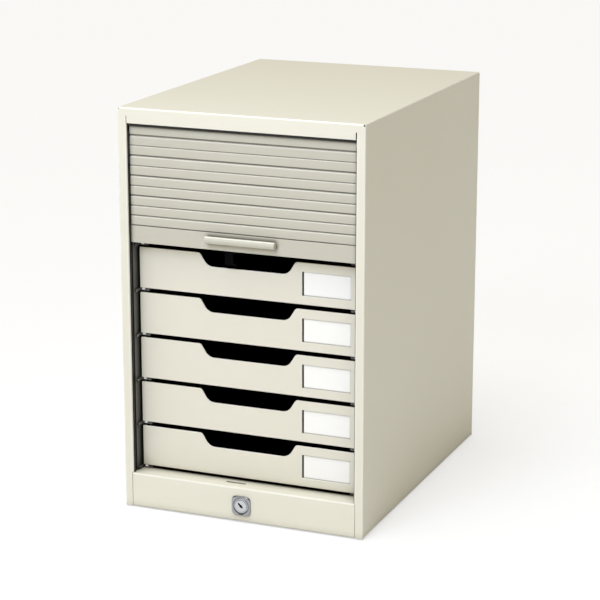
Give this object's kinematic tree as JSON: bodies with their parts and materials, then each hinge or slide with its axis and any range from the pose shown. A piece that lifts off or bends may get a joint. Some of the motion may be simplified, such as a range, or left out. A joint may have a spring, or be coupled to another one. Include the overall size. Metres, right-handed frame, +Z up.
{
  "type": "shutter drawer cabinet",
  "caption": "Desktop filing cabinet of folded sheet steel with shallow paper drawers behind a lockable roll-up shutter.",
  "frame": {"origin": "middle of the bounding box's base, on the surface the feet stand on", "axes": "+Z up, the front with its drawers and shutter faces -Y, +X to the right as seen from the front"},
  "size_m": [0.28, 0.3824, 0.446],
  "materials": {
    "case_paint": "satin powder coat",
    "drawer_paint": "satin powder coat",
    "shutter_plastic": "matt extruded plastic",
    "frame_plastic": "matt moulded plastic",
    "tray_plastic": "fine-grained moulded plastic",
    "nylon": "natural nylon",
    "card": "plain white card",
    "chrome": "polished",
    "zinc": "zinc plated",
    "foot_rubber": "soft moulded"
  },
  "bodies": {
    "case": {"outer_shell": "case_paint", "fascia_strip": "frame_plastic", "plinth": "case_paint", "base_panel": "case_paint", "back_panel": "case_paint", "back_screws": "zinc", "foot_front_left": "foot_rubber", "foot_front_right": "foot_rubber", "foot_rear_left": "foot_rubber", "foot_rear_right": "foot_rubber", "side_frame_left": "frame_plastic", "side_frame_right": "frame_plastic", "runners_left": "frame_plastic", "runners_right": "frame_plastic", "runner_glides": "nylon", "shutter_track_left": "frame_plastic", "shutter_track_right": "frame_plastic", "lock_escutcheon": "chrome", "lock_barrel": "zinc", "lock_nut": "zinc", "curtain_front": "shutter_plastic", "curtain_rear": "shutter_plastic"},
    "shutter": {"shutter_bar": "shutter_plastic", "shutter_handle": "shutter_plastic", "shutter_latch": "tray_plastic", "shutter_shoe_left": "nylon", "shutter_shoe_right": "nylon"},
    "lock_core": {"lock_plug": "chrome", "lock_cam": "zinc", "cam_screw": "zinc"},
    "drawer_1": {"drawer_front_1": "drawer_paint", "drawer_tray_1": "tray_plastic", "label_card_1": "card"},
    "drawer_2": {"drawer_front_2": "drawer_paint", "drawer_tray_2": "tray_plastic", "label_card_2": "card"},
    "drawer_3": {"drawer_front_3": "drawer_paint", "drawer_tray_3": "tray_plastic", "label_card_3": "card"},
    "drawer_4": {"drawer_front_4": "drawer_paint", "drawer_tray_4": "tray_plastic", "label_card_4": "card"},
    "drawer_5": {"drawer_front_5": "drawer_paint", "drawer_tray_5": "tray_plastic", "label_card_5": "card"},
    "drawer_6": {"drawer_front_6": "drawer_paint", "drawer_tray_6": "tray_plastic", "label_card_6": "card"},
    "drawer_7": {"drawer_front_7": "drawer_paint", "drawer_tray_7": "tray_plastic", "label_card_7": "card"}
  },
  "joints": [
    {"name": "shutter_slide", "type": "slide", "parent": "case", "child": "shutter", "axis": [0, 0, 1], "range_m": [-0.2598, 0.103], "deforming": ["curtain_front"]},
    {"name": "lock_turn", "type": "hinge", "parent": "case", "child": "lock_core", "pos_m": [0, -0.18825, 0.0194], "axis": [0, -1, 0], "range_deg": [0, 90]},
    {"name": "drawer_1_slide", "type": "slide", "parent": "case", "child": "drawer_1", "axis": [0, -1, 0], "range_m": [0, 0.25]},
    {"name": "drawer_2_slide", "type": "slide", "parent": "case", "child": "drawer_2", "axis": [0, -1, 0], "range_m": [0, 0.25]},
    {"name": "drawer_3_slide", "type": "slide", "parent": "case", "child": "drawer_3", "axis": [0, -1, 0], "range_m": [0, 0.25]},
    {"name": "drawer_4_slide", "type": "slide", "parent": "case", "child": "drawer_4", "axis": [0, -1, 0], "range_m": [0, 0.25]},
    {"name": "drawer_5_slide", "type": "slide", "parent": "case", "child": "drawer_5", "axis": [0, -1, 0], "range_m": [0, 0.25]},
    {"name": "drawer_6_slide", "type": "slide", "parent": "case", "child": "drawer_6", "axis": [0, -1, 0], "range_m": [0, 0.004]},
    {"name": "drawer_7_slide", "type": "slide", "parent": "case", "child": "drawer_7", "axis": [0, -1, 0], "range_m": [0, 0.004]}
  ]
}
